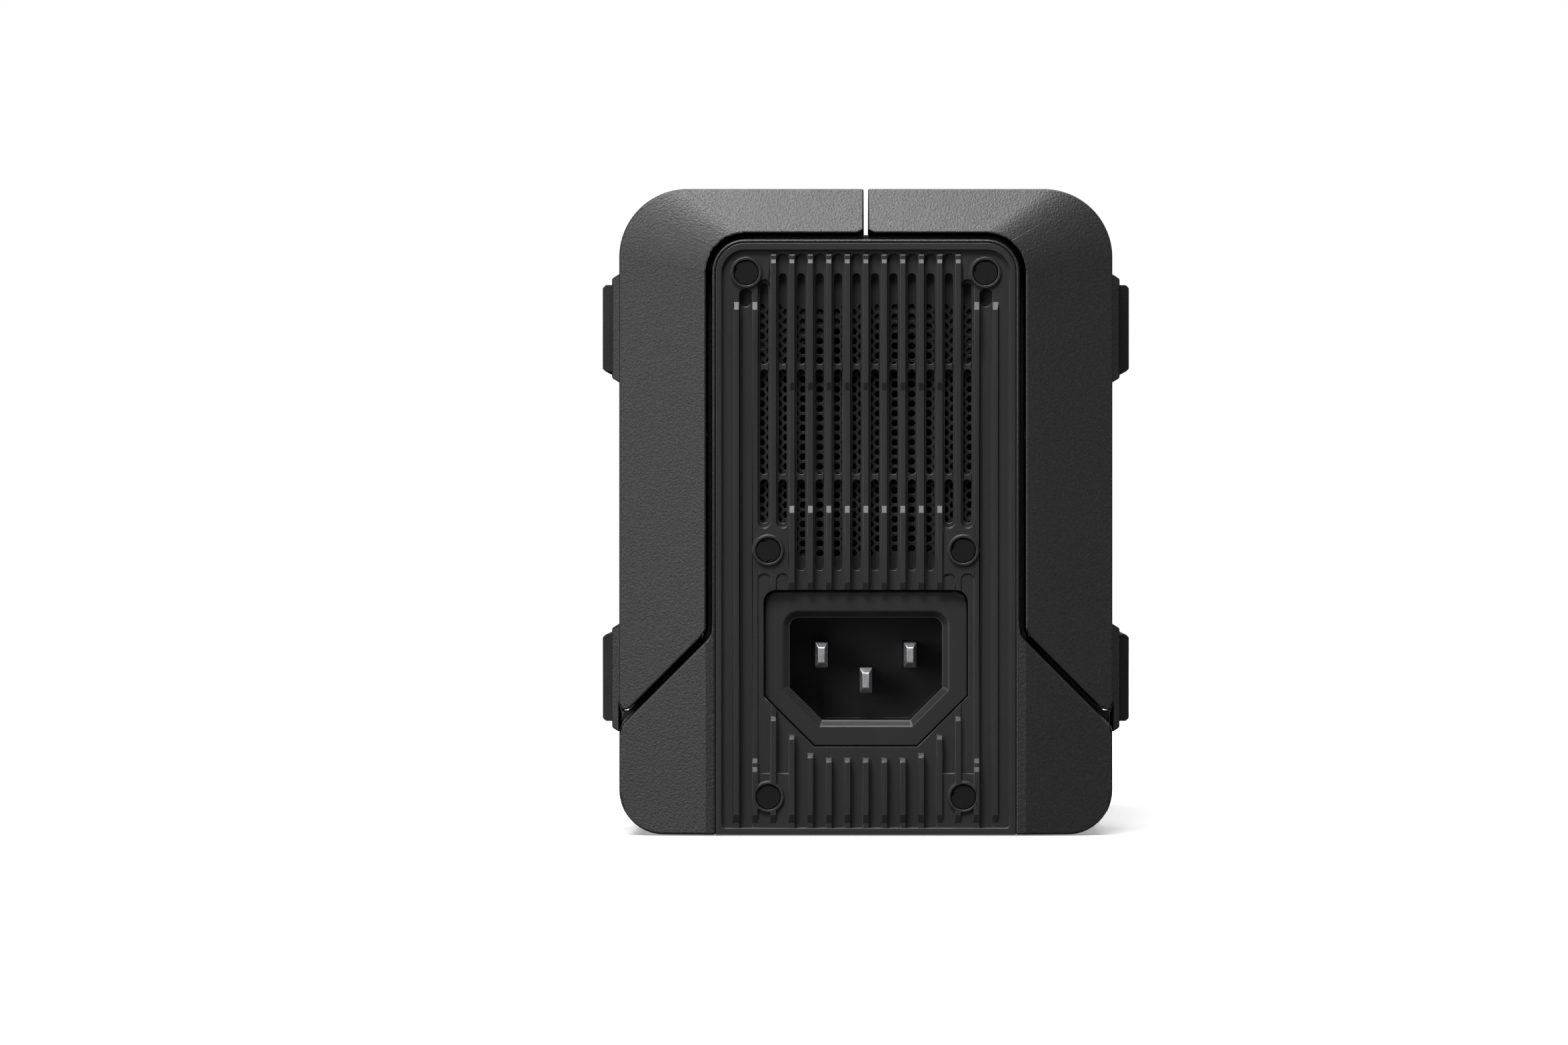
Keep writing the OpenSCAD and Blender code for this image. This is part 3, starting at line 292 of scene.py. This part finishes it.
def frosted(name, colour):
    """Frosted light-guide plastic."""
    s = Shader(name)
    s.bsdf.inputs["Transmission Weight"].default_value = 0.35
    s.bsdf.inputs["Subsurface Weight"].default_value = 0.3
    s.bsdf.inputs["Subsurface Scale"].default_value = 0.5 * MM
    frost = s.noise(0.15 * MM, detail=2.0)
    haze = s.noise(2 * MM, detail=2.0)
    s.colour(s.mix(haze, shade(colour, 0.85), shade(colour, 1.2)))
    s.roughness(s.spread(frost, 0.35, 0.55))
    s.bump(frost, 0.004 * MM)
    return s.material


def foam(name, colour):
    """Open-cell foam: pores painted dark as painted shade in their pits, in a matte skin."""
    s = Shader(name, specular=0.2)
    pores = s.cells(0.35 * MM)
    tone = s.noise(3 * MM, detail=2.0)
    skin = s.ramp(tone, [(0.3, shade(colour, 0.85)), (0.7, shade(colour, 1.15))])
    # Painted shade: the middles of the pores, which the relief sinks, are painted darker.
    s.colour(s.mix(s.spread(pores, 1, 0, 0.1, 0.45), skin, shade(colour, 0.4)))
    s.roughness(0.9)
    s.bump(pores, 0.05 * MM)
    return s.material


def pouch_foil(name, colour):
    """Laminated foil of the pouch cells: satin, with soft wrinkles."""
    s = Shader(name, metallic=0.75)
    wrinkle = s.noise(5 * MM, detail=5.0, stretch=(1, 0.5, 1), roughness=0.6)
    fine = s.noise(0.3 * MM, detail=2.0)
    s.colour(s.ramp(wrinkle, [(0.3, shade(colour, 0.85)), (0.6, colour), (0.8, shade(colour, 1.15))]))
    s.roughness(s.spread(fine, 0.36, 0.5))
    s.bump(wrinkle, 0.12 * MM, after=s.bump(fine, 0.003 * MM))
    return s.material


RECIPES = {
    "shell_plastic": (grained_shell, {}),
    "panel_plastic": (satin_plastic, {"rough": 0.38}),
    "black_plastic": (satin_plastic, {"rough": 0.48, "specular": 0.22}),
    "component_plastic": (speckled, {"rough": 0.5, "size": 0.3}),
    "black_rubber": (rubber, {}),
    "foam": (foam, {}),
    "steel": (brushed, {"rough": 0.3}),
    "contact_metal": (brushed, {"rough": 0.22, "stretch": (0.05, 1, 1)}),
    "pin_metal": (brushed, {"rough": 0.42, "size": 0.6, "depth": 0.001}),
    "aluminium": (brushed, {"rough": 0.34, "size": 0.3, "depth": 0.01}),
    "ferrite": (speckled, {"rough": 0.55}),
    "winding_tape": (wrapped, {}),
    "circuit_board": (circuit_board, {}),
    "capacitor_sleeve": (wrapped, {"lap": 56.55}),
    "fuse_ceramic": (speckled, {"rough": 0.2, "size": 0.8, "depth": 0.004}),
    "insulating_film": (satin_plastic, {"rough": 0.4, "depth": 0.01, "size": 0.6}),
    "terminal_plastic": (satin_plastic, {"rough": 0.35}),
    "lead_blue": (satin_plastic, {"rough": 0.38}),
    "lead_red": (satin_plastic, {"rough": 0.38}),
    "light_pipe": (frosted, {}),
    "cell_pouch": (pouch_foil, {}),
}


def make_materials():
    """One material for each slot of the record, in the record's colour."""
    materials = {}
    for slot, (recipe, settings) in RECIPES.items():
        materials[slot] = recipe(slot, tuple(FINISH[slot]["base_color"]), **settings)
    return materials


# ---------------------------------------------------------------- pieces

MERGE_DISTANCE = 0.0002 * MM        # corners closer than this are the same corner
TOUCH = 0.002 * MM                  # a point closer than this to a cut lies on it
SHARP_FROM = math.radians(10.5)     # the facets of a curved face meet at less than this
ROUND_FROM = math.radians(28)       # edges that turn by more than this are rounded
FLAT_WITHIN = math.radians(0.1)     # triangles that turn by less than this lie in one plane
SQUARE_TO_X = 0.999                 # a face whose normal has at least this X is a side wall

# Radius of the moulded or broken edges of each kind of part, in millimetres
EDGE = {
    "main_housing": 0.3, "rear_panel": 0.1, "vent_sheet": 0.04, "inlet_body": 0.16, "inlet_pins": 0.14,
    "rear_screw_plugs": 0.12, "front_panel": 0.14, "front_screw_plugs": 0.12, "mode_button": 0.3,
    "base_pads": 0.15, "pack_shell": 0.25, "pack_cover": 0.2, "pack_feet": 0.12, "pack_socket": 0.2,
    "pack_button": 0.25, "dock_connectors": 0.2, "dock_blades": 0.15, "fan_frame": 0.15, "fan_rotor": 0.12,
    "pack_cells": 0.6, "transformer_winding": 0.5, "transformer_core": 0.3, "heat_sink": 0.15,
    "bulk_capacitors": 0.6, "power_transistors": 0.2, "output_terminals": 0.3, "filter_choke": 0.4,
    "dock_magnets": 0.2, "pack_keepers": 0.12,
}
DEFAULT_EDGE = 0.06
EDGE_SEGMENTS = 3


def kind_of(node):
    """The node's name without its side."""
    for side in ("left_", "right_"):
        if node.startswith(side):
            return node[len(side):]
    return node


def clean_copy(node):
    """The node's mesh as one closed surface, smooth inside each designed face and sharp between them."""
    bm = bmesh.new()
    bm.from_mesh(frame["nodes"][node].data)
    for edge in bm.edges:
        edge.seam = edge.is_boundary
    bmesh.ops.remove_doubles(bm, verts=bm.verts, dist=MERGE_DISTANCE)
    if node == "main_housing":
        join_wall_triangles(bm)
    if kind_of(node) == "pack_shell":
        divide_end_bevels(bm)
    for edge in bm.edges:
        edge.smooth = not (edge.seam and edge.calc_face_angle(0) > SHARP_FROM)
        edge.seam = False
    return bm


def join_wall_triangles(bm):
    """Joins the triangles of the side walls, as a rounded edge goes wrong where thin ones fan out from it."""
    walls = {face for face in bm.faces if abs(face.normal.x) > SQUARE_TO_X}
    inner = [edge for edge in bm.edges if walls.issuperset(edge.link_faces)]
    bmesh.ops.dissolve_limit(bm, angle_limit=FLAT_WITHIN, verts=[], edges=inner, delimit={"SEAM"})


def make_piece(node, bm):
    """The finished copy as an object of its own."""
    name = node + "_look"
    mesh = bpy.data.meshes.new(name)
    bm.to_mesh(mesh)
    bm.free()
    for polygon in mesh.polygons:
        polygon.use_smooth = True
    piece = bpy.data.objects.new(name, mesh)
    bpy.context.scene.collection.objects.link(piece)
    return piece


def round_edges(piece, radius):
    """Rounds the piece's edges, radius in millimetres, and keeps its flat faces flat."""
    bevel = piece.modifiers.new("rounded_edges", "BEVEL")
    bevel.width = radius * MM
    bevel.segments = EDGE_SEGMENTS
    bevel.limit_method = "ANGLE"
    bevel.angle_limit = ROUND_FROM
    bevel.use_clamp_overlap = False
    level = piece.modifiers.new("flat_shading", "WEIGHTED_NORMAL")
    level.keep_sharp = True


def settle(piece):
    """Turns the piece's modifiers into mesh."""
    depsgraph = bpy.context.evaluated_depsgraph_get()
    mesh = bpy.data.meshes.new_from_object(piece.evaluated_get(depsgraph), depsgraph=depsgraph)
    piece.modifiers.clear()
    piece.data = mesh
    mesh.name = piece.name


# The end bevel of a pack runs from the arc of its lip, at the rim, to the arc of its outer corner
BEVEL_DEPTH = 3.1 * MM
LIP_ARC = Vector((19.0, 88.8)) * MM       # centre in X and Z
LIP_R = 6.2 * MM
CORNER_ARC = Vector((28.1, 91.2)) * MM
CORNER_R = 10.8 * MM
SAME_FACE = math.cos(math.radians(5.5))


def divide_end_bevels(bm):
    """Adds edges where the curved part of each end bevel meets its flat parts."""
    rim = cad_box[1][1]
    slope = (CORNER_ARC - LIP_ARC) / BEVEL_DEPTH
    for end in (-1, 1):
        for side in (-1, 1):
            cut(bm, (side * LIP_ARC[0], end * rim, 0), (side, end * slope[0], 0))
        cut(bm, (0, end * rim, LIP_ARC[1]), (0, end * slope[1], 1))


def cut(bm, place, normal):
    """Adds edges all round the mesh where a plane crosses it."""
    bmesh.ops.bisect_plane(bm, geom=bm.verts[:] + bm.edges[:] + bm.faces[:], dist=TOUCH,
        plane_co=place, plane_no=normal)


def bevel_normal(point):
    """Normal of the true, unfaceted end bevel at a point on it."""
    rim = cad_box[1][1]
    along = (rim - abs(point.y)) / BEVEL_DEPTH
    centre = LIP_ARC.lerp(CORNER_ARC, along)
    angle = math.atan2(point.z - centre[1], abs(point.x) - centre[0])
    angle = min(max(angle, 0), math.pi / 2)
    toward = Vector((math.cos(angle), math.sin(angle)))
    lean = ((CORNER_ARC - LIP_ARC).dot(toward) + CORNER_R - LIP_R) / BEVEL_DEPTH
    return Vector((math.copysign(toward[0], point.x), math.copysign(lean, point.y), toward[1])).normalized()


def smooth_end_bevels(piece):
    """Shades the facets of a pack's end bevels as the one curved face that they stand for."""
    mesh = piece.data
    normals = [corner.vector.copy() for corner in mesh.corner_normals]
    for polygon in mesh.polygons:
        if bevel_normal(polygon.center).dot(polygon.normal) < SAME_FACE:
            continue
        for loop in polygon.loop_indices:
            normals[loop] = bevel_normal(mesh.vertices[mesh.loops[loop].vertex_index].co)
    mesh.normals_split_custom_set(normals)


def build_pieces(materials):
    """One piece for each CAD node, on the node's body and in the node's finish."""
    for node in frame["nodes"]:
        piece = make_piece(node, clean_copy(node))
        piece.data.materials.clear()
        piece.data.materials.append(materials[SLOT_OF[node]])
        round_edges(piece, EDGE.get(kind_of(node), DEFAULT_EDGE))
        if kind_of(node) == "pack_shell":
            settle(piece)
            smooth_end_bevels(piece)
        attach(piece, BODY_OF[node])
        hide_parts(node)


# ---------------------------------------------------------------- studio

def aim(obj, target):
    """Turns a light towards a point."""
    obj.rotation_mode = "QUATERNION"
    obj.rotation_quaternion = (Vector(target) - obj.location).to_track_quat("-Z", "Y")


def softbox(name, place, target, width, height, radiance):
    """Area light whose face has the given brightness, where 1 is paper white."""
    data = bpy.data.lights.new(name, "AREA")
    data.shape = "RECTANGLE"
    data.size = width
    data.size_y = height
    data.energy = radiance * math.pi * width * height
    light = bpy.data.objects.new(name, data)
    light.location = place
    bpy.context.scene.collection.objects.link(light)
    aim(light, target)


def lights(centre):
    """Six softboxes: name, place, what they face, width, height and brightness."""
    softbox("key_softbox", (-0.28, -0.85, 1.05), centre, 0.8, 0.55, 14.0)
    softbox("back_softbox", (-0.75, -1.35, 0.35), centre, 0.6, 0.8, 3.1)
    softbox("top_softbox", (0.0, 0.1, 1.3), centre, 1.0, 1.0, 5.0)
    softbox("left_softbox", (-1.2, -0.55, 0.3), centre, 0.4, 0.6, 3.2)
    softbox("right_softbox", (1.2, -0.55, 0.3), centre, 0.4, 0.6, 1.2)
    softbox("front_softbox", (0.6, 1.2, 0.8), centre, 0.8, 0.8, 4.0)


WHITE = (1, 1, 1, 1)
ROOM_LIGHT = 0.05               # brightness of the room that the object sees
PAPER = (0.85, 0.85, 0.85, 1)
PAPER_TO_OBJECT = (0.07, 0.07, 0.07, 1)
GLOW_NEAR = 0.3                 # the paper glows a little at the object's foot
GLOW_FAR = 1.0                  # and fully, so that it meets the white behind it
FADE_FROM = 0.15                # metres from the middle of the floor
FADE_TO = 0.7
FLOOR_SIZE = 12


def camera_or_else(tree, seen, unseen):
    """Shader that the camera sees as one thing, and that lights the object as another."""
    path = tree.nodes.new("ShaderNodeLightPath")
    mix = tree.nodes.new("ShaderNodeMixShader")
    tree.links.new(path.outputs["Is Camera Ray"], mix.inputs["Fac"])
    tree.links.new(unseen, mix.inputs[1])
    tree.links.new(seen, mix.inputs[2])
    return mix.outputs["Shader"]


def background(tree, strength):
    node = tree.nodes.new("ShaderNodeBackground")
    node.inputs["Color"].default_value = WHITE
    node.inputs["Strength"].default_value = strength
    return node.outputs["Background"]


def background_light():
    """A room that is white to the camera and dim to the object."""
    world = bpy.data.worlds.new("studio")
    bpy.context.scene.world = world
    world.use_nodes = True
    tree = world.node_tree
    tree.nodes.clear()
    output = tree.nodes.new("ShaderNodeOutputWorld")
    shader = camera_or_else(tree, background(tree, 1.0), background(tree, ROOM_LIGHT))
    tree.links.new(shader, output.inputs["Surface"])


def floor_material():
    """Pale paper that glows to the camera as painted light, faintly at the object's foot and fully far off,
    so that it looks nearly white; it sends little light back up to the object.
    """
    material = bpy.data.materials.new("pale_floor")
    material.use_nodes = True
    tree = material.node_tree
    tree.nodes.clear()
    output = tree.nodes.new("ShaderNodeOutputMaterial")
    paper = tree.nodes.new("ShaderNodeBsdfDiffuse")
    paper.inputs["Color"].default_value = PAPER
    glow = tree.nodes.new("ShaderNodeEmission")
    place = tree.nodes.new("ShaderNodeTexCoord")
    reach = tree.nodes.new("ShaderNodeVectorMath")
    reach.operation = "LENGTH"
    tree.links.new(place.outputs["Object"], reach.inputs[0])
    fade = tree.nodes.new("ShaderNodeMapRange")
    fade.inputs["From Min"].default_value = FADE_FROM
    fade.inputs["From Max"].default_value = FADE_TO
    fade.inputs["To Min"].default_value = GLOW_NEAR
    fade.inputs["To Max"].default_value = GLOW_FAR
    tree.links.new(reach.outputs["Value"], fade.inputs["Value"])
    tree.links.new(fade.outputs["Result"], glow.inputs["Strength"])
    both = tree.nodes.new("ShaderNodeAddShader")
    tree.links.new(paper.outputs["BSDF"], both.inputs[0])
    tree.links.new(glow.outputs["Emission"], both.inputs[1])
    dark = tree.nodes.new("ShaderNodeBsdfDiffuse")
    dark.inputs["Color"].default_value = PAPER_TO_OBJECT
    shader = camera_or_else(tree, both.outputs["Shader"], dark.outputs["BSDF"])
    tree.links.new(shader, output.inputs["Surface"])
    return material


def floor():
    bpy.ops.mesh.primitive_plane_add(size=FLOOR_SIZE, location=(0, 0, 0))
    plane = bpy.context.active_object
    plane.name = "studio_floor"
    plane.data.materials.append(floor_material())


CAMERA_DISTANCE = 1.5           # metres behind the object's rear face
VIEW_WIDTH = 0.2468             # metres across the picture at that face
OBJECT_RIGHT = 0.05217          # of the object from the picture's middle, as a share of the picture's width
OBJECT_UP = 0.00659             # likewise
SENSOR_WIDTH = 36               # millimetres


def camera():
    """Level view along +Y from behind the object, which stands a little right of the middle."""
    low, high = cad_box
    data = bpy.data.cameras.new("camera")
    data.sensor_width = SENSOR_WIDTH
    data.lens = SENSOR_WIDTH * CAMERA_DISTANCE / VIEW_WIDTH
    data.shift_x = -OBJECT_RIGHT
    data.shift_y = -OBJECT_UP
    data.clip_start = 0.05
    data.clip_end = 30
    cam = bpy.data.objects.new("camera", data)
    cam.location = ((low.x + high.x) / 2, low.y - CAMERA_DISTANCE, (low.z + high.z) / 2)
    cam.rotation_euler = (math.radians(90), 0, 0)
    bpy.context.scene.collection.objects.link(cam)
    bpy.context.scene.camera = cam


def studio():
    low, high = cad_box
    lights((low + high) / 2)
    background_light()
    floor()
    camera()
    bpy.context.scene.view_settings.view_transform = "Standard"


build_pieces(make_materials())
studio()
